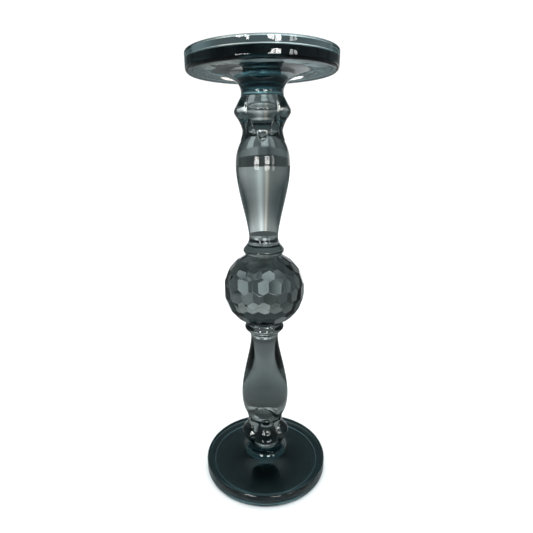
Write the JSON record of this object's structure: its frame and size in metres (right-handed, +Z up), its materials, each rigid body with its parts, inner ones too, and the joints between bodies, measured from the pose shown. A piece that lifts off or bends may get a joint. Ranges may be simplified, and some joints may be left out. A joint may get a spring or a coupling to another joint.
{
  "type": "glass candlestick",
  "caption": "Tall glass pillar candlestick: round recessed dish, baluster stems with petalled knops, a cut glass ball at the middle and a round glass base.",
  "frame": {"origin": "centre of the face that the base stands on", "axes": "+Z up along the common axis of the plates, stems and ball; -Y towards the front petal of each stem"},
  "size_m": [0.1256, 0.1256, 0.4],
  "materials": {
    "plate_glass": "polished smoke grey pressed glass, dark through the thickness of the plates",
    "stem_glass": "fire polished smoke grey pressed glass",
    "ball_glass": "smoke grey glass with flat polished facets",
    "adhesive": "clear cured adhesive film"
  },
  "bodies": {
    "root": {"candle_dish": "plate_glass", "dish_bond": "adhesive", "upper_stem": "stem_glass", "ball_top_bond": "adhesive", "cut_ball": "ball_glass", "ball_bottom_bond": "adhesive", "lower_stem": "stem_glass", "base_bond": "adhesive", "base_disc": "plate_glass"}
  },
  "joints": []
}
